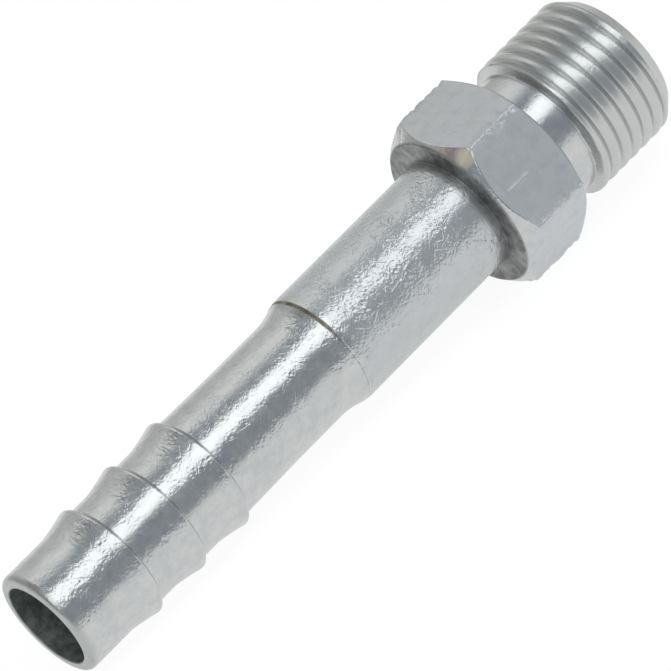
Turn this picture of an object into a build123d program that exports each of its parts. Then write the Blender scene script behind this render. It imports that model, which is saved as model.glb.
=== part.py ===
from build123d import *
from math import radians, tan
import os

# Hose tail: one turned piece of hexagon steel bar. A hose pushes over the barbed end
# and the threaded end screws into a port, sealing on the hexagon's flat face.
# Frame: X along the bore, origin at the centre of the sealing face, +X towards the
# threaded end, and one flat of the hexagon facing straight down (-Z). Millimetres.

# ---- bore ----
bore_d = 8.9
hose_mouth_break = 0.1       # edge break where the hose's flow enters
port_mouth_break = 0.8       # countersink in the threaded end

# ---- barbed end, from the open tail towards the hexagon ----
tail_d = 11.2                # plain tail, and the lands between the barbs
tail_round = 0.75            # rounding of the tail's outer edge
tail_land = 5.4              # plain tail ahead of the first ramp
barb_count = 3
barb_d = 12.45               # over the crests
barb_pitch = 5.75
barb_ramp = 3.1              # ramp, foot to crest
barb_hollow = 0.05           # how far the ramp's middle lies below a straight cone
barb_step = 0.35             # steep back that grips the hose
barb_round = 0.35            # rounding of each crest
neck_d = 11.0                # waist between the last barb and the shoulder
neck_taper = 7.0             # length over which the waist narrows
neck_length = 13.15          # last barb's back to the foot of the shoulder
shoulder_ramp = 2.9          # concave rise from the waist to the crease
shoulder_lip = 0.07          # what the rise still lacks at the crease, on the radius
crease_width = 0.35          # witness line cut round the top of the shoulder
crease_depth = 0.1
lip_length = 0.65            # crease to the full stem
stem_d = 12.2
stem_length = 18.62          # full stem, up to the hexagon

# ---- hexagon ----
hex_flats = 17.0             # across flats
hex_length = 8.33
hex_back_d = 16.3            # turned face on the hose side
hex_back_angle = 43.0        # its chamfer, measured from the face
hex_seal_d = 16.8            # turned sealing face on the thread side
hex_seal_angle = 27.0

# ---- threaded end: M16 x 1.5, drawn at its major diameter ----
thread_d = 15.85
thread_pitch = 1.5
root_clearance = 0.15        # relief groove below the thread's root, on the radius
relief_length = 2.75
thread_start = 1.3           # slope from the relief groove up to the crests
thread_length = 10.95        # relief groove to the end of the piece
thread_lead = 1.35           # slope from the crests down to the end face

# ---- worked out from the sizes above ----
bore_r = bore_d / 2
tail_r = tail_d / 2
barb_r = barb_d / 2
neck_r = neck_d / 2
stem_r = stem_d / 2
crease_r = stem_r - shoulder_lip
thread_r = thread_d / 2
thread_root_r = thread_r - 0.6134 * thread_pitch
relief_r = thread_root_r - root_clearance
hex_corner_d = 2 * hex_flats / 3**0.5

x_hex = -hex_length
x_stem = x_hex - stem_length
x_crease = x_stem - lip_length
x_shoulder_foot = x_crease - shoulder_ramp
x_last_back = x_shoulder_foot - neck_length
x_last_foot = x_last_back - barb_step - barb_ramp
x_tail = x_last_foot - (barb_count - 1) * barb_pitch - tail_land
x_end = relief_length + thread_length


# The hexagon as sawn from bar, with both faces turned back to a chamfer
def chamfer_height(face_d, angle):
    """How far along the bar a turned chamfer runs before it clears the corners."""
    return (hex_corner_d - face_d) / 2 * tan(radians(angle))


with BuildPart() as hexagon:
    with BuildSketch(Plane.YZ.offset(x_hex)):
        RegularPolygon(radius=hex_flats / 2, side_count=6, major_radius=False)
    extrude(amount=hex_length)
    with BuildSketch(Plane.XZ):
        with BuildLine():
            Polyline(
                (x_hex, 0),
                (x_hex, hex_back_d / 2),
                (x_hex + chamfer_height(hex_back_d, hex_back_angle), hex_corner_d / 2),
                (-chamfer_height(hex_seal_d, hex_seal_angle), hex_corner_d / 2),
                (0, hex_seal_d / 2),
                (0, 0),
                close=True,
            )
        make_face()
    revolve(axis=Axis.X, mode=Mode.INTERSECT)

# The turned piece: half its outline from the tail to the threaded end, spun round X
with BuildPart() as hose_tail:
    with BuildSketch(Plane.XZ) as section:
        with BuildLine():
            Line((x_tail, 0), (x_tail, tail_r))
            land_start = x_tail
            for barb in range(barb_count):
                foot = x_tail + tail_land + barb * barb_pitch
                crest = foot + barb_ramp
                Line((land_start, tail_r), (foot, tail_r))
                SagittaArc((foot, tail_r), (crest, barb_r), -barb_hollow)
                Line((crest, barb_r), (crest + barb_step, tail_r))
                land_start = crest + barb_step
            Polyline(
                (land_start, tail_r),
                (land_start + neck_taper, neck_r),
                (x_shoulder_foot, neck_r),
            )
            TangentArc((x_shoulder_foot, neck_r), (x_crease, crease_r), tangent=(1, 0))
            Polyline(
                (x_crease, crease_r),
                (x_crease + crease_width / 2, crease_r - crease_depth),
                (x_crease + crease_width, (crease_r + stem_r) / 2),
                (x_stem, stem_r),
                (x_hex + hex_length / 2, stem_r),
                (x_hex + hex_length / 2, relief_r),
                (relief_length, relief_r),
                (relief_length + thread_start, thread_r),
                (x_end - thread_lead, thread_r),
                (x_end, relief_r),
                (x_end, 0),
                (x_tail, 0),
            )
        make_face()
        fillet(section.vertices().filter_by_position(Axis.Y, barb_r - 0.001, barb_r + 0.001), barb_round)
        fillet(section.vertices().sort_by_distance((x_tail, tail_r))[0], tail_round)
    revolve(axis=Axis.X)
    add(hexagon.part)
    with BuildSketch(Plane.XZ):
        with BuildLine():
            Polyline(
                (x_tail, 0),
                (x_tail, bore_r + hose_mouth_break),
                (x_tail + hose_mouth_break, bore_r),
                (x_end - port_mouth_break, bore_r),
                (x_end, bore_r + port_mouth_break),
                (x_end, 0),
                close=True,
            )
        make_face()
    revolve(axis=Axis.X, mode=Mode.SUBTRACT)

hose_tail.part.label = "hose_tail"

os.makedirs("parts", exist_ok=True)
export_step(hose_tail.part, "parts/hose_tail.step")
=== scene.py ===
import bpy
from math import atan, cos, pi, radians, sin, sqrt, tan
from mathutils import Matrix, Vector


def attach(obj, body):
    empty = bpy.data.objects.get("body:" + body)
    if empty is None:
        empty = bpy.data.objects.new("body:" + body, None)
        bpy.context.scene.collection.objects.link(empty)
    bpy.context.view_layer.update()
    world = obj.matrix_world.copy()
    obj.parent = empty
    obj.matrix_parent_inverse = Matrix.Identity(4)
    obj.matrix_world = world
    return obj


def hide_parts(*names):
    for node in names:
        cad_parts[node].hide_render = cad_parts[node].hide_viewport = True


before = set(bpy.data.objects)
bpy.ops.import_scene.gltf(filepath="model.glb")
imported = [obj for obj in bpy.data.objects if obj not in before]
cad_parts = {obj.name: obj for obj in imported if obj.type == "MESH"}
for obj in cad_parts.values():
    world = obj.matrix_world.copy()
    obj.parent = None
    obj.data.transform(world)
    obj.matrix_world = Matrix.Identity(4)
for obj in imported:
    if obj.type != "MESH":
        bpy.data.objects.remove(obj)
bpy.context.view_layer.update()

# ---- Turned body: its outline ----
# One piece of free-cutting hexagon steel bar, turned on a lathe from the barbed tail to the
# threaded end and drilled right through. The hexagon is the bar's own, with both faces turned
# back to a chamfer. Sizes are in millimetres and the bar's axis is X.
bore_r, mouth_break = 4.45, 0.1
tail_x, tail_r, tail_round = -64.0, 5.6, 0.72
barb_count, barb_pitch, first_foot = 3, 5.75, -58.6
barb_r, barb_ramp, barb_hollow, barb_step, barb_round = 6.225, 3.1, 0.05, 0.35, 0.28
waist_x, waist_r, shoulder_x = -36.65, 5.5, -30.5
crease_x, crease_r, crease_depth = -27.7, 6.03, 0.1
stem_x, stem_r = -26.95, 6.1
hex_x, hex_half, hex_corner = -8.33, 8.5, 0.15
back_r, back_lean = 8.15, tan(radians(43))
seal_r, seal_lean = 8.4, tan(radians(27))
relief_r, thread_x, end_x, crest_r = 6.855, 3.2, 13.7, 7.925
pitch, port_break = 1.5, 0.8


def ramp(x0, r0, x1, r1, hollow, steps=8):
    """Points up a ramp whose middle lies that far below a straight cone."""
    shares = [n / steps for n in range(1, steps + 1)]
    return [(x0 + (x1 - x0) * t, r0 + (r1 - r0) * t - 4 * hollow * t * (1 - t)) for t in shares]


# Each cut is (x, radius, rounding, lean, reach). Lean and reach say how far it goes along and
# out from the axis for each millimetre that the hexagon stands outside its flats' half width.
cuts = [(tail_x, bore_r + mouth_break, 0.03, 0, 0), (tail_x, tail_r, tail_round, 0, 0)]
for barb in range(barb_count):
    foot = first_foot + barb * barb_pitch
    crest = foot + barb_ramp
    climb = ramp(foot, tail_r, crest, barb_r, barb_hollow)
    cuts.append((foot, tail_r, 0.15, 0, 0))
    cuts += [(x, r, 0, 0, 0) for x, r in climb[:-1]]
    cuts += [(crest, barb_r, barb_round, 0, 0), (crest + barb_step, tail_r, 0.06, 0, 0)]
cuts += [(waist_x, waist_r, 1.0, 0, 0), (shoulder_x, waist_r, 0, 0, 0)]
climb = ramp(shoulder_x, waist_r, crease_x, crease_r, (crease_r - waist_r) / 4)
cuts += [(x, r, 0, 0, 0) for x, r in climb[:-1]]
cuts += [
    (crease_x, crease_r, 0.05, 0, 0),
    (crease_x + 0.15, crease_r - crease_depth, 0.04, 0, 0),
    (crease_x + 0.32, (crease_r + stem_r) / 2, 0.06, 0, 0),
    (stem_x, stem_r, 0.2, 0, 0),
    (hex_x, stem_r, 0.02, 0, 0),
    (hex_x, back_r, 0.1, 0, 0),
    (hex_x + (hex_half - back_r) * back_lean, hex_half, 0.12, back_lean, 1),
    ((seal_r - hex_half) * seal_lean, hex_half, 0.12, -seal_lean, 1),
    (0, seal_r, 0.08, 0, 0),
    (0, relief_r, 0.15, 0, 0),
    (thread_x - 0.06, relief_r, 0, 0, 0),
    (thread_x, relief_r, 0, 0, 0),
    (end_x, relief_r, 0.1, 0, 0),
    (end_x, bore_r + port_break, 0.06, 0, 0),
    (end_x - port_break, bore_r, 0.06, 0, 0),
    (tail_x + mouth_break, bore_r, 0.03, 0, 0),
]
# Each corner is rounded between two points on its cuts, with a holding row just outside them
# so that the flats beside it stay flat. A side's length is taken half way to a hexagon corner.
half_way, hold_gap, round_limit, hold_limit = 0.8, 0.04, 0.72, 0.8
rows = []
for n, cut in enumerate(cuts):
    around = (cut, cuts[n - 1], cuts[(n + 1) % len(cuts)])
    here, before, after = [Vector((x, r, lean, reach)) for x, r, rounding, lean, reach in around]
    if cut[2] == 0:
        rows.append(here)
        continue
    sides = []
    for other in (before, after):
        way = other - here
        length = sqrt((way[0] + half_way * way[2]) ** 2 + (way[1] + half_way * way[3]) ** 2)
        part = min(cut[2] / length, round_limit)
        held = min(part + hold_gap / length, hold_limit)
        sides.append([here + way * part, here + way * held])
    (start, hold_start), (stop, hold_stop) = sides
    steps = (0, 0.25, 0.5, 0.75, 1)
    curve = [start * (1 - t) ** 2 + here * 2 * t * (1 - t) + stop * t**2 for t in steps]
    rows += [hold_start, *curve, hold_stop]
# The hexagon's flats get a row every 0.2 mm, for the knocks along their edges.
flat_step = 0.2
spread = []
for n, row in enumerate(rows):
    spread.append(row)
    after = rows[(n + 1) % len(rows)]
    if row[3] == 1 and after[3] == 1 and after[0] - row[0] > 1:
        count = int((after[0] - row[0]) / flat_step)
        spread += [row.lerp(after, step / count) for step in range(1, count)]
rows = spread

# ---- Turned body: its thread ----
# The M16 x 1.5 thread is chased right-handed in the same steel, with rounded crests and roots.
# Each of its rows follows the helix at one place on the form: (share of a pitch, depth in pitches).
form = [(0.08, 0.005), (0.15, 0.018), (0.22, 0.038), (0.28, 0.062), (0.33, 0.09), (0.37, 0.12)]
form += [(0.4, 0.155), (0.43, 0.2), (0.455, 0.24), (0.48, 0.27)]
far_flank = [(1 - share, depth) for share, depth in reversed(form)]
form = [(0, 0), *form, (0.5, 0.285), *far_flank]
thread_start, run_in_length, lead_length = -0.18, 0.35, 1.35
helix = []
turn = -2
while thread_x + (turn + thread_start) * pitch < end_x:
    start = thread_x + (turn + thread_start) * pitch
    helix += [(start + share * pitch, crest_r - depth * pitch) for share, depth in form]
    turn += 1
# The helix's rows go in behind the row at the thread's start, and only they have a 1 at the end
first = next(n for n, row in enumerate(rows) if abs(row[0] - thread_x) < 1e-4) + 1
table = [(*row, 0) for row in rows[:first]] + [(x, r, 0, 0, 1) for x, r in helix]
table += [(*row, 0) for row in rows[first:]]

outline = bpy.data.meshes.new("outline")
outline.from_pydata([(row[0] * 0.001, 0, row[1] * 0.001) for row in table], [], [])
lean = outline.attributes.new("lean", "FLOAT_VECTOR", "POINT")
lean.data.foreach_set("vector", [v for row in table for v in (row[2], 0, row[3])])
on_helix = outline.attributes.new("on_helix", "FLOAT", "POINT")
on_helix.data.foreach_set("value", [row[4] for row in table])
in_crease = outline.attributes.new("in_crease", "FLOAT", "POINT")
crease_middle = crease_x + 0.16
in_crease.data.foreach_set("value", [float(abs(row[0] - crease_middle) < 0.3) for row in table])


def put(tree, kind, inputs={}, **settings):
    """Adds a node with its settings, and its inputs by name or number: a value, a socket or a node."""
    node = tree.nodes.new(kind)
    for name, value in settings.items():
        setattr(node, name, value)
    for name, value in inputs.items():
        if isinstance(value, bpy.types.Node):
            value = value.outputs[0]
        if isinstance(value, bpy.types.NodeSocket):
            tree.links.new(value, node.inputs[name])
        else:
            node.inputs[name].default_value = value
    return node


def to_linear(colour):
    """An sRGB hex colour as the linear colour that a socket takes."""
    parts = [int(colour[n : n + 2], 16) / 255 for n in (0, 2, 4)]
    return (*[c / 12.92 if c <= 0.04045 else ((c + 0.055) / 1.055) ** 2.4 for c in parts], 1)


maths, switch, map_range = "ShaderNodeMath", "GeometryNodeSwitch", "ShaderNodeMapRange"
lathe = bpy.data.node_groups.new("turn and thread", "GeometryNodeTree")
lathe.interface.new_socket("Geometry", in_out="INPUT", socket_type="NodeSocketGeometry")
sizes = {
    "Columns to a flat": (30, "NodeSocketInt"),
    "Crowding at corners": (0.75, "NodeSocketFloat"),
    "Half across flats": (hex_half * 0.001, "NodeSocketFloat"),
    "Corner rounding": (hex_corner * 0.001, "NodeSocketFloat"),
    "Thread pitch": (pitch * 0.001, "NodeSocketFloat"),
    "Thread from": (thread_x * 0.001, "NodeSocketFloat"),
    "Thread to": (end_x * 0.001, "NodeSocketFloat"),
    "Radius at thread's ends": (relief_r * 0.001, "NodeSocketFloat"),
    "Run-in slope": ((crest_r - relief_r) / run_in_length, "NodeSocketFloat"),
    "Lead slope": ((crest_r - relief_r) / lead_length, "NodeSocketFloat"),
    "Depth of knocks": (0.00018, "NodeSocketFloat"),
    "Crease wander": (0.00012, "NodeSocketFloat"),
    "Steel": (None, "NodeSocketMaterial"),
}
for name, (value, kind) in sizes.items():
    lathe.interface.new_socket(name, in_out="INPUT", socket_type=kind)
lathe.interface.new_socket("Geometry", in_out="OUTPUT", socket_type="NodeSocketGeometry")
given = put(lathe, "NodeGroupInput").outputs
half_across, rounding = given["Half across flats"], given["Corner rounding"]
half_sector = pi / 6
# A grid of rows (the outline, closed) by columns (round the axis, closer at the hexagon's corners).
# The nudge keeps a share that falls just short of a whole number from being rounded down.
nudge = 1e-4
count = put(lathe, "GeometryNodeAttributeDomainSize", {"Geometry": given["Geometry"]})
count = count.outputs["Point Count"]
columns = put(lathe, maths, {0: given["Columns to a flat"], 1: 6}, operation="MULTIPLY")
across = put(lathe, maths, {0: columns, 1: 1}, operation="ADD")
along = put(lathe, maths, {0: count, 1: 1}, operation="ADD")
grid = put(lathe, "GeometryNodeMeshGrid", {"Vertices X": across, "Vertices Y": along})
index = put(lathe, "GeometryNodeInputIndex")
column = put(lathe, maths, {0: index, 1: along}, operation="DIVIDE")
column = put(lathe, maths, {0: column, 1: nudge}, operation="ADD")
column = put(lathe, maths, {0: column}, operation="FLOOR")
row = put(lathe, maths, {0: column, 1: along}, operation="MULTIPLY")
row = put(lathe, maths, {0: index, 1: row}, operation="SUBTRACT")
row = put(lathe, maths, {0: row, 1: count}, operation="MODULO")
place = put(lathe, maths, {0: column, 1: given["Columns to a flat"]}, operation="DIVIDE")
sector = put(lathe, maths, {0: place, 1: nudge}, operation="ADD")
sector = put(lathe, maths, {0: sector}, operation="FLOOR")
part = put(lathe, maths, {0: place, 1: sector}, operation="SUBTRACT")
ease = put(lathe, maths, {0: part, 1: 2 * pi}, operation="MULTIPLY")
ease = put(lathe, maths, {0: ease}, operation="SINE")
ease = put(lathe, maths, {0: ease, 1: given["Crowding at corners"]}, operation="MULTIPLY")
ease = put(lathe, maths, {0: ease, 1: 2 * pi}, operation="DIVIDE")
part = put(lathe, maths, {0: part, 1: ease}, operation="SUBTRACT")
turned = put(lathe, maths, {0: part, 1: sector}, operation="ADD")
turned = put(lathe, maths, {0: turned, 1: 6}, operation="DIVIDE")
angle = put(lathe, maths, {0: turned, 1: 2 * pi}, operation="MULTIPLY")
sideways = put(lathe, maths, {0: angle}, operation="COSINE")
upwards = put(lathe, maths, {0: angle}, operation="SINE")
# How far the hexagon's rounded section reaches at that angle
off_flat = put(lathe, maths, {0: part, 1: 0.5}, operation="SUBTRACT")
off_flat = put(lathe, maths, {0: off_flat}, operation="ABSOLUTE")
off_flat = put(lathe, maths, {0: off_flat, 1: 2 * half_sector}, operation="MULTIPLY")
flat = put(lathe, maths, {0: off_flat}, operation="COSINE")
flat = put(lathe, maths, {0: half_across, 1: flat}, operation="DIVIDE")
inner = put(lathe, maths, {0: half_across, 1: rounding}, operation="SUBTRACT")
inner = put(lathe, maths, {0: inner, 1: cos(half_sector)}, operation="DIVIDE")
off_corner = put(lathe, maths, {0: half_sector, 1: off_flat}, operation="SUBTRACT")
beside = put(lathe, maths, {0: off_corner}, operation="SINE")
beside = put(lathe, maths, {0: inner, 1: beside}, operation="MULTIPLY")
beside = put(lathe, maths, {0: beside, 1: 2}, operation="POWER")
rise = put(lathe, maths, {0: rounding, 1: 2}, operation="POWER")
rise = put(lathe, maths, {0: rise, 1: beside}, operation="SUBTRACT")
rise = put(lathe, maths, {0: rise, 1: 0.5}, operation="POWER")
corner = put(lathe, maths, {0: off_corner}, operation="COSINE")
corner = put(lathe, maths, {0: inner, 1: corner, 2: rise}, operation="MULTIPLY_ADD")
flat_ends = put(lathe, maths, {0: inner, 1: sin(half_sector)}, operation="MULTIPLY")
flat_ends = put(lathe, maths, {0: flat_ends, 1: half_across}, operation="ARCTAN2")
past = put(lathe, maths, {0: off_flat, 1: flat_ends}, operation="GREATER_THAN")
reach = put(lathe, switch, {"Switch": past, "False": flat, "True": corner}, input_type="FLOAT")
stands = put(lathe, maths, {0: reach, 1: half_across}, operation="SUBTRACT")
# The outline's point for this row, leaned out to the hexagon or carried along the helix
kinds = {"position": "FLOAT_VECTOR", "lean": "FLOAT_VECTOR", "on_helix": "FLOAT", "in_crease": "FLOAT"}
read = {}
for name, kind in kinds.items():
    if name == "position":
        field = put(lathe, "GeometryNodeInputPosition")
    else:
        field = put(lathe, "GeometryNodeInputNamedAttribute", {"Name": name}, data_type=kind)
    wanted = {"Geometry": given["Geometry"], "Value": field, "Index": row}
    read[name] = put(lathe, "GeometryNodeSampleIndex", wanted, data_type=kind)
threaded = read["on_helix"]
base = put(lathe, "ShaderNodeSeparateXYZ", {0: read["position"]})
base_x, base_r = base.outputs["X"], base.outputs["Z"]
leans = put(lathe, "ShaderNodeSeparateXYZ", {0: read["lean"]})
lean_x, lean_r = leans.outputs["X"], leans.outputs["Z"]
x = put(lathe, maths, {0: lean_x, 1: stands, 2: base_x}, operation="MULTIPLY_ADD")
r = put(lathe, maths, {0: lean_r, 1: stands, 2: base_r}, operation="MULTIPLY_ADD")
carried = {0: given["Thread pitch"], 1: turned, 2: base_x}
carried = put(lathe, maths, carried, operation="MULTIPLY_ADD")
carried = put(lathe, maths, {0: carried, 1: given["Thread from"]}, operation="MAXIMUM")
carried = put(lathe, maths, {0: carried, 1: given["Thread to"]}, operation="MINIMUM")
from_start = put(lathe, maths, {0: carried, 1: given["Thread from"]}, operation="SUBTRACT")
to_end = put(lathe, maths, {0: given["Thread to"], 1: carried}, operation="SUBTRACT")
low = given["Radius at thread's ends"]
run_in = put(lathe, maths, {0: from_start, 1: given["Run-in slope"], 2: low}, operation="MULTIPLY_ADD")
lead = put(lathe, maths, {0: to_end, 1: given["Lead slope"], 2: low}, operation="MULTIPLY_ADD")
cut_r = put(lathe, maths, {0: run_in, 1: lead}, operation="MINIMUM")
cut_r = put(lathe, maths, {0: base_r, 1: cut_r}, operation="MINIMUM")
x = put(lathe, switch, {"Switch": threaded, "False": x, "True": carried}, input_type="FLOAT")
r = put(lathe, switch, {"Switch": threaded, "False": r, "True": cut_r}, input_type="FLOAT")
# The crease was cut a little out of square. At this angle it lies nearest to the hexagon.
crease_turn = 4.02
shift = put(lathe, maths, {0: angle, 1: crease_turn}, operation="SUBTRACT")
shift = put(lathe, maths, {0: shift}, operation="COSINE")
shift = put(lathe, maths, {0: shift, 1: given["Crease wander"]}, operation="MULTIPLY")
x = put(lathe, maths, {0: read["in_crease"], 1: shift, 2: x}, operation="MULTIPLY_ADD")
# The hexagon's corners are knocked in, in bites about a millimetre long. Sizes are in metres.
hex_girth, bites_in_metre, corner_from, corner_to = 0.055, 1100, 0.0006, 0.0012
round_it = put(lathe, maths, {0: turned, 1: hex_girth}, operation="MULTIPLY")
skin = put(lathe, "ShaderNodeCombineXYZ", {"X": x, "Y": round_it})
bites = put(lathe, "ShaderNodeTexNoise", {"Vector": skin, "Scale": bites_in_metre, "Detail": 2})
bites = put(lathe, map_range, {"Value": bites, "From Min": 0.42, "From Max": 0.72})
near = put(lathe, map_range, {"Value": stands, "From Min": corner_from, "From Max": corner_to})
bites = put(lathe, maths, {0: bites, 1: near}, operation="MULTIPLY")
bites = put(lathe, maths, {0: bites, 1: given["Depth of knocks"]}, operation="MULTIPLY")
bites = put(lathe, maths, {0: bites, 1: lean_r}, operation="MULTIPLY")
r = put(lathe, maths, {0: r, 1: bites}, operation="SUBTRACT")
y = put(lathe, maths, {0: r, 1: sideways}, operation="MULTIPLY")
z = put(lathe, maths, {0: r, 1: upwards}, operation="MULTIPLY")
point = put(lathe, "ShaderNodeCombineXYZ", {"X": x, "Y": y, "Z": z})
shaped = put(lathe, "GeometryNodeSetPosition", {"Geometry": grid.outputs["Mesh"], "Position": point})
closed = put(lathe, "GeometryNodeMergeByDistance", {"Geometry": shaped, "Distance": 2e-7})
smooth = put(lathe, "GeometryNodeSetShadeSmooth", {"Geometry": closed})
real = put(lathe, "GeometryNodeRealizeInstances", {"Geometry": smooth})
dressed = put(lathe, "GeometryNodeSetMaterial", {"Geometry": real, "Material": given["Steel"]})
put(lathe, "NodeGroupOutput", {0: dressed})

# ---- Turned body: its finish ----
# Bright zinc plate, barrel plated on turned steel: slightly cloudy, with the tool's rings in it.
# Tumbling in the barrel leaves dents and scuffs, thick on the wide stem and at the hexagon's
# The bore and the faces that the tool tore are duller, and the hexagon's back face, the stem's end
# beside it and the thread's roots carry painted shade.
zinc = bpy.data.materials.new("bright zinc plate on turned steel")
zinc.use_nodes = True
tree = zinc.node_tree
shader = tree.nodes["Principled BSDF"]
vectors, noise, cell_pattern = "ShaderNodeVectorMath", "ShaderNodeTexNoise", "ShaderNodeTexVoronoi"
place = put(tree, "ShaderNodeTexCoord").outputs["Object"]
mm = put(tree, vectors, {0: place, "Scale": 1000}, operation="SCALE")
along = put(tree, "ShaderNodeSeparateXYZ", {0: mm}).outputs["X"]
off_axis = put(tree, vectors, {0: mm, 1: (0, 1, 1)}, operation="MULTIPLY")
radius = put(tree, vectors, {0: off_axis}, operation="LENGTH").outputs["Value"]
# How hard each stretch was knocked about: (x in mm, share). The share may pass 1.
knocked = [(-64, 0.5), (-46, 0.46), (-43, 0.55), (-31, 0.5), (-28, 0.6), (-27, 1.15), (-11, 1.15)]
knocked += [(-9, 0.5), (-0.5, 0.4), (1, 0.12), (14, 0.3)]
first_x, last_x = knocked[0][0], knocked[-1][0]
wear = put(tree, map_range, {"Value": along, "From Min": first_x, "From Max": last_x})
wear = put(tree, "ShaderNodeFloatCurve", {"Value": wear})
wear.mapping.use_clip = False
knots = [((x - first_x) / (last_x - first_x), share) for x, share in knocked]
curve = wear.mapping.curves[0]
curve.points[0].location, curve.points[1].location = knots[0], knots[-1]
for where, share in knots[1:-1]:
    curve.points.new(where, share)
for knot in curve.points:
    knot.handle_type = "VECTOR"
wear.mapping.update()
swell = put(tree, noise, {"Vector": mm, "Scale": 0.35, "Detail": 2})
patchy = {"Value": swell, "From Min": 0.35, "From Max": 0.65, "To Min": 0.35, "To Max": 1.65}
patchy = put(tree, map_range, patchy)
wear = put(tree, maths, {0: wear, 1: patchy}, operation="MULTIPLY")
on_corner = {"Value": radius, "From Min": 9.45, "From Max": 9.7, "To Min": 0, "To Max": 1.3}
on_corner = put(tree, map_range, on_corner)
wear = put(tree, maths, {0: wear, 1: on_corner}, operation="ADD")
# Dents are shallow round hollows: (cell in mm, radius, depth)
hollows = []
for cell, reach, depth in ((0.9, 0.5, 0.024), (0.46, 0.27, 0.022), (0.24, 0.14, 0.014)):
    cells = put(tree, cell_pattern, {"Vector": mm, "Scale": 1 / cell})
    away = put(tree, maths, {0: cells.outputs["Distance"], 1: cell}, operation="MULTIPLY")
    bowl = {"Value": away, "From Max": reach, "To Min": -depth, "To Max": 0}
    hollows.append(put(tree, map_range, bowl, interpolation_type="SMOOTHSTEP"))
# Scuffs are short straight scratches that lie every way: (cell, half length, half width, depth)
for cell, length, width, depth in ((1.5, 0.85, 0.07, 0.016), (0.8, 0.45, 0.05, 0.011)):
    cells = put(tree, cell_pattern, {"Vector": mm, "Scale": 1 / cell})
    local = put(tree, vectors, {0: mm, 1: cells.outputs["Position"]}, operation="SUBTRACT")
    lies = put(tree, vectors, {0: cells.outputs["Color"], 1: (0.5, 0.5, 0.5)}, operation="SUBTRACT")
    lies = put(tree, vectors, {0: lies}, operation="NORMALIZE")
    across = put(tree, vectors, {0: local, 1: lies}, operation="DOT_PRODUCT").outputs["Value"]
    across = put(tree, maths, {0: across}, operation="ABSOLUTE")
    groove = {"Value": across, "From Max": width, "To Min": -depth, "To Max": 0}
    groove = put(tree, map_range, groove, interpolation_type="SMOOTHSTEP")
    away = put(tree, vectors, {0: local}, operation="LENGTH").outputs["Value"]
    fade_from = length * 0.6
    fades = {"Value": away, "From Min": fade_from, "From Max": length, "To Min": 1, "To Max": 0}
    fades = put(tree, map_range, fades)
    hollows.append(put(tree, maths, {0: groove, 1: fades}, operation="MULTIPLY"))
# One long scratch runs along the bar on the front flat
scratch_line, scratch_middle, scratch_half_width, scratch_depth = (0, -7.55, 3.93), -5.5, 0.14, 0.06
away = put(tree, vectors, {0: off_axis, 1: scratch_line}, operation="DISTANCE").outputs["Value"]
scratch = {"Value": away, "From Max": scratch_half_width, "To Min": -scratch_depth, "To Max": 0}
scratch = put(tree, map_range, scratch, interpolation_type="SMOOTHSTEP")
ends = put(tree, maths, {0: along, 1: scratch_middle}, operation="SUBTRACT")
ends = put(tree, maths, {0: ends}, operation="ABSOLUTE")
ends = put(tree, map_range, {"Value": ends, "From Min": 1.5, "From Max": 1.2})
hollows.append(put(tree, maths, {0: scratch, 1: ends}, operation="MULTIPLY"))
height = hollows[0]
for hollow in hollows[1:]:
    height = put(tree, maths, {0: height, 1: hollow}, operation="ADD")
height = put(tree, maths, {0: swell, 1: 0.05, 2: height}, operation="MULTIPLY_ADD")
height = put(tree, maths, {0: height, 1: wear}, operation="MULTIPLY")
# The tool's rings lie about 0.1 mm apart on the real steel, which is too fine to show. They are
# drawn about 0.3 mm apart, and deeper. Under them is the plate's own fine grain.
stretched = put(tree, vectors, {0: mm, 1: (3.5, 0.04, 0.04)}, operation="MULTIPLY")
for where, scale, depth in ((stretched, 1, 0.012), (mm, 4, 0.004)):
    ripple = put(tree, noise, {"Vector": where, "Scale": scale, "Detail": 2})
    height = put(tree, maths, {0: ripple, 1: depth, 2: height}, operation="MULTIPLY_ADD")
height = put(tree, maths, {0: height, 1: 0.001}, operation="MULTIPLY")
relief = put(tree, "ShaderNodeBump", {"Height": height, "Distance": 1, "Strength": 1})
tree.links.new(relief.outputs[0], shader.inputs["Normal"])
# Cloudiness of the plate, over a few millimetres and again over half a millimetre
cloud = put(tree, noise, {"Vector": mm, "Scale": 0.8, "Detail": 5, "Roughness": 0.65})
tone = put(tree, "ShaderNodeValToRGB", {"Fac": cloud})
for stop, where, shade in zip(tone.color_ramp.elements, (0.35, 0.65), ("C2C4C5", "D0D2D0")):
    stop.position, stop.color = where, to_linear(shade)
# What tells where the plate is duller or painted darker, in mm. A measure is put far out of its range
# wherever the place isn't meant. The crease is painted darker along its upper side and fades out
# below.
far_out, stem_middle, stain = 19, -18, (-7.8, -4.6, 7.97)
across_crease, upwards_and_back = (1, 0.0128, 0.0154), (0, 0.64, 0.77)
slant = put(tree, vectors, {0: mm, 1: across_crease}, operation="DOT_PRODUCT").outputs["Value"]
from_crease = put(tree, maths, {0: slant, 1: crease_middle}, operation="SUBTRACT")
from_crease = put(tree, maths, {0: from_crease}, operation="ABSOLUTE")
upper = put(tree, vectors, {0: mm, 1: upwards_and_back}, operation="DOT_PRODUCT").outputs["Value"]
fading_below = {"Value": upper, "From Min": 1, "From Max": -1.5, "To Min": 0, "To Max": 0.24}
fading_below = put(tree, map_range, fading_below)
from_crease = put(tree, maths, {0: from_crease, 1: fading_below}, operation="ADD")
# The hexagon's back face is duller turned steel, and its dark colour is also a painted reflection of
# the shade under the stem.
from_back = put(tree, maths, {0: along, 1: hex_x}, operation="SUBTRACT")
from_back = put(tree, maths, {0: from_back}, operation="ABSOLUTE")
in_stem = put(tree, maths, {0: radius, 1: stem_r + 0.005}, operation="LESS_THAN")
back_dull_and_shaded = put(tree, maths, {0: in_stem, 1: far_out, 2: from_back}, operation="MULTIPLY_ADD")
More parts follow.
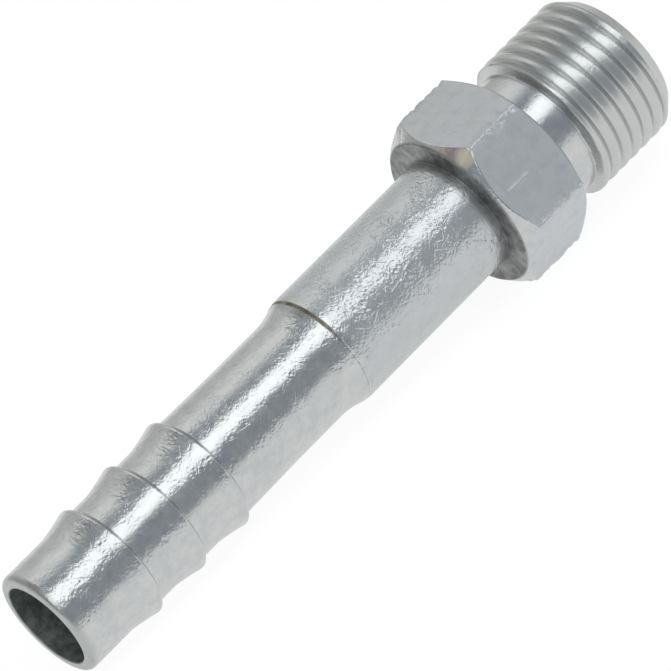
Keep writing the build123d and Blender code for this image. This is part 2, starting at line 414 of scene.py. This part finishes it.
# The stem's last millimetre beside the hexagon is painted darker: painted shade where it meets the
# hexagon's back face.
off_stem = put(tree, maths, {0: radius, 1: stem_r + 0.3}, operation="GREATER_THAN")
painted_shade_at_stem_end = put(tree, maths, {0: off_stem, 1: far_out, 2: from_back}, operation="MULTIPLY_ADD")
# The thread's roots are painted darker below the crests: painted shade in the grooves.
before_thread = put(tree, maths, {0: along, 1: thread_x + 0.8}, operation="LESS_THAN")
painted_shade_in_roots = put(tree, maths, {0: before_thread, 1: far_out, 2: radius}, operation="MULTIPLY_ADD")
past_back = {0: radius, 1: -back_lean, 2: back_r * back_lean - hex_x}
past_back = put(tree, maths, past_back, operation="MULTIPLY_ADD")
past_back = put(tree, maths, {0: past_back, 1: along}, operation="ADD")
past_seal = {0: radius, 1: -seal_lean, 2: seal_r * seal_lean}
past_seal = put(tree, maths, past_seal, operation="MULTIPLY_ADD")
past_seal = put(tree, maths, {0: past_seal, 1: along}, operation="SUBTRACT")
on_flat = put(tree, maths, {0: past_back, 1: past_seal}, operation="MINIMUM")
in_hexagon = put(tree, maths, {0: radius, 1: hex_half - 0.02}, operation="LESS_THAN")
on_flat = put(tree, maths, {0: in_hexagon, 1: -far_out, 2: on_flat}, operation="MULTIPLY_ADD")
on_stem = put(tree, maths, {0: along, 1: stem_middle}, operation="SUBTRACT")
on_stem = put(tree, maths, {0: on_stem}, operation="ABSOLUTE")
in_bore = put(tree, maths, {0: radius, 1: bore_r + 0.2}, operation="LESS_THAN")
on_stem = put(tree, maths, {0: in_bore, 1: far_out, 2: on_stem}, operation="MULTIPLY_ADD")
from_stain = put(tree, vectors, {0: mm, 1: stain}, operation="DISTANCE").outputs["Value"]
all_stem, all_stain, all_bore = (9.4, 8.6), (1.25, 0.5), (bore_r + 0.12, bore_r + 0.02)
# (what to measure, where it starts and where it is in full, colour laid over it, its roughness)
dull = [
    (on_stem, *all_stem, "CCCFD0", 0.27),
    # painted shade on the stem's end beside the hexagon
    (painted_shade_at_stem_end, 1.1, 0.7, "A5A6A6", 0.42),
    (on_flat, 0.04, 0.15, "D3D6D8", 0.5),
    # the hexagon's back face: dull steel and painted reflected shade
    (back_dull_and_shaded, 0.25, 0.08, "747574", 0.42),
    (from_stain, *all_stain, "DCD2B2", 0.45),
    (along, thread_x, thread_x + 0.3, "C8CAC8", 0.3),
    # painted shade in the thread's roots
    (painted_shade_in_roots, 7.8, 7.55, "C6C7C3", 0.34),
    (from_crease, 0.26, 0.14, "7D7764", 0.45),
    (along, -63.2, -63.8, "B0B4B0", 0.33),
    (radius, *all_bore, "6E746F", 0.5),
]
colour = tone.outputs["Color"]
mottle = {"Value": cloud, "From Min": 0.35, "From Max": 0.6, "To Min": 0.5, "To Max": 1}
mottle = put(tree, map_range, mottle)
rough = {"Value": cloud, "From Min": 0.3, "From Max": 0.7, "To Min": 0.19, "To Max": 0.27}
rough = put(tree, map_range, rough)
for measure, start, full, shade, haze in dull:
    share = put(tree, map_range, {"Value": measure, "From Min": start, "From Max": full})
    broken = put(tree, maths, {0: share, 1: mottle}, operation="MULTIPLY")
    laid = {"Factor": broken, "A": colour, "B": to_linear(shade)}
    colour = put(tree, "ShaderNodeMix", laid, data_type="RGBA").outputs[2]
    rough = put(tree, "ShaderNodeMix", {0: share, 2: rough, 3: haze})
tree.links.new(colour, shader.inputs["Base Color"])
tree.links.new(rough.outputs[0], shader.inputs["Roughness"])
# A greyish bloom on the stem's knocked skin, the film of the stain and the thin plate in the bore add
# some diffuse light: (what to measure, where it starts and is in full, how metallic it stays)
metal = 1
for measure, start, full, least in (
    (radius, *all_bore, 0.5),
    (on_stem, *all_stem, 0.76),
    (from_stain, *all_stain, 0.4),
):
    cover = {"Value": measure, "From Min": start, "From Max": full, "To Min": 1, "To Max": least}
    cover = put(tree, map_range, cover)
    metal = put(tree, maths, {0: metal, 1: cover}, operation="MINIMUM")
tree.links.new(metal.outputs[0], shader.inputs["Metallic"])

blank = bpy.data.objects.new("blank", outline)
bpy.context.scene.collection.objects.link(blank)
machine = blank.modifiers.new("turn and thread", "NODES")
machine.node_group = lathe
sockets = {item.name: item.identifier for item in lathe.interface.items_tree if item.in_out == "INPUT"}
for name, (value, kind) in sizes.items():
    machine[sockets[name]] = zinc if name == "Steel" else value
finished = blank.evaluated_get(bpy.context.evaluated_depsgraph_get())
turned_mesh = bpy.data.meshes.new_from_object(finished)
body = bpy.data.objects.new("turned_body", turned_mesh)
bpy.context.scene.collection.objects.link(body)
bpy.data.objects.remove(blank)
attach(body, "root")
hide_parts("hose_tail")

# ---- Bench ----
# A plain white bench top. The piece lies on one flat of the hexagon, rocked back until its first
# barb touches, so in the piece's own frame the bench leans by that angle.
rest_x, rest_z = hex_x + (hex_half - back_r) * back_lean, -hex_half
barb_x = first_foot + barb_ramp
rock = atan((barb_r + rest_z) / (rest_x - barb_x))
bench_mesh = bpy.data.meshes.new("bench")
half_size = 1.5
corners = [(-half_size, -half_size, 0), (half_size, -half_size, 0)]
corners += [(half_size, half_size, 0), (-half_size, half_size, 0)]
bench_mesh.from_pydata(corners, [], [(0, 1, 2, 3)])
bench = bpy.data.objects.new("bench", bench_mesh)
bpy.context.scene.collection.objects.link(bench)
seat = Matrix.Translation((rest_x * 0.001, 0, rest_z * 0.001))
bench.matrix_world = seat @ Matrix.Rotation(-rock, 4, "Y")
# Most of the top glows white, and the rest is matt white that takes the piece's faint shadow. The
# glow's share is larger for the eye than for what the plate reflects.
glow_to_eye, glow_in_plate = 0.85, 0.67
bench_top = bpy.data.materials.new("white bench top")
bench_top.use_nodes = True
tree = bench_top.node_tree
tree.nodes.clear()
path = put(tree, "ShaderNodeLightPath")
seen = {0: path.outputs["Is Camera Ray"], 1: glow_to_eye}
seen = put(tree, maths, seen, operation="MULTIPLY")
seen = {0: path.outputs["Is Glossy Ray"], 1: glow_in_plate, 2: seen}
seen = put(tree, maths, seen, operation="MULTIPLY_ADD")
white = put(tree, "ShaderNodeBsdfDiffuse", {"Color": (0.9, 0.9, 0.9, 1)})
glow = put(tree, "ShaderNodeEmission", {"Color": (1, 1, 1, 1), "Strength": 1.08})
mixed = put(tree, "ShaderNodeMixShader", {0: seen, 1: white, 2: glow})
put(tree, "ShaderNodeOutputMaterial", {"Surface": mixed})
bench_mesh.materials.append(bench_top)

# ---- Light and camera ----
# A large softbox stands above and in front of the piece. Round it the room is a pale backdrop
# behind and a dimmer, cooler dome in front, which gives the bright steel its dark bands.
world = bpy.data.worlds.new("studio")
bpy.context.scene.world = world
world.use_nodes = True
tree = world.node_tree
background = tree.nodes["Background"]
# The dome's colour goes by the way over the piece: 0 level behind it, 0.5 overhead, 1 level in front
way = put(tree, "ShaderNodeSeparateXYZ", {0: put(tree, "ShaderNodeTexCoord").outputs["Generated"]})
way_x = way.outputs["X"]
share = put(tree, maths, {0: way.outputs["Z"], 1: way.outputs["Y"]}, operation="ARCTAN2")
share = put(tree, maths, {0: share, 1: pi}, operation="DIVIDE")
dome = put(tree, "ShaderNodeValToRGB", {"Fac": share})
stops = [(0.0, "CBCBCA"), (0.12, "CFCFCE"), (0.2, "DDDDDC"), (0.31, "FDFEFD"), (0.38, "FEFFFE")]
stops += [(0.43, "C3C9CD"), (0.48, "989FA5"), (0.75, "9299A1"), (0.97, "A3A8AD")]
dome.color_ramp.elements.remove(dome.color_ramp.elements[1])
for n, (where, shade) in enumerate(stops):
    stop = dome.color_ramp.elements[0] if n == 0 else dome.color_ramp.elements.new(where)
    stop.position, stop.color = where, to_linear(shade)
# Behind the piece the room is darker past both of its ends, and something warm stands far past
# the barbed one
behind = put(tree, map_range, {"Value": share, "From Min": 0.46, "From Max": 0.4})
right = {"Value": way_x, "From Min": 0.42, "From Max": 0.7}
right = put(tree, map_range, right, interpolation_type="SMOOTHSTEP")
right = put(tree, maths, {0: right, 1: behind}, operation="MULTIPLY")
left = {"Value": way_x, "From Min": 0.08, "From Max": -0.05}
left = put(tree, map_range, left, interpolation_type="SMOOTHSTEP")
low = {"Value": share, "From Min": 0.22, "From Max": 0.34, "To Min": 0.35, "To Max": 1}
low = put(tree, map_range, low)
left = put(tree, maths, {0: left, 1: low}, operation="MULTIPLY")
left = put(tree, maths, {0: left, 1: behind}, operation="MULTIPLY")
warm_height = 0.3
warm = put(tree, maths, {0: share, 1: warm_height}, operation="SUBTRACT")
warm = put(tree, maths, {0: warm}, operation="ABSOLUTE")
warm = put(tree, map_range, {"Value": warm, "From Min": 0.04, "From Max": 0.015})
far = put(tree, map_range, {"Value": way_x, "From Min": -0.5, "From Max": -0.7})
warm = put(tree, maths, {0: warm, 1: far}, operation="MULTIPLY")
room = dome.outputs["Color"]
for part, shade in ((right, "A2A3A4"), (left, "808285"), (warm, "BC8F7C")):
    laid = {"Factor": part, "A": room, "B": to_linear(shade)}
    room = put(tree, "ShaderNodeMix", laid, data_type="RGBA").outputs[2]
tree.links.new(room, background.inputs["Color"])
background.inputs["Strength"].default_value = 1

softbox_data = bpy.data.lights.new("softbox", "AREA")
softbox_data.shape = "RECTANGLE"
softbox_data.size, softbox_data.size_y = 3, 0.3
softbox_data.energy = 4.1
softbox = bpy.data.objects.new("softbox", softbox_data)
bpy.context.scene.collection.objects.link(softbox)
stand = Matrix.Translation((0.5, -0.261, 0.54))
softbox.matrix_world = stand @ Matrix.Rotation(radians(25.8), 4, "X")
# The focal length and the picture's width are in pixels
focal_length, picture_width, roll = 5400, 671, radians(-28.56)
camera_data = bpy.data.cameras.new("camera")
camera_data.sensor_width = 36
camera_data.lens = camera_data.sensor_width * focal_length / picture_width
camera_data.clip_start = 0.01
camera = bpy.data.objects.new("camera", camera_data)
bpy.context.scene.collection.objects.link(camera)
eye, target = Vector((-0.20063, -0.35122, 0.29165)), Vector((-0.02497, 0.00070, -0.00057))
aim = (target - eye).to_track_quat("-Z", "Y").to_matrix().to_4x4()
camera.matrix_world = Matrix.Translation(eye) @ aim @ Matrix.Rotation(roll, 4, "Z")
bpy.context.scene.camera = camera
bpy.context.scene.view_settings.view_transform = "Standard"
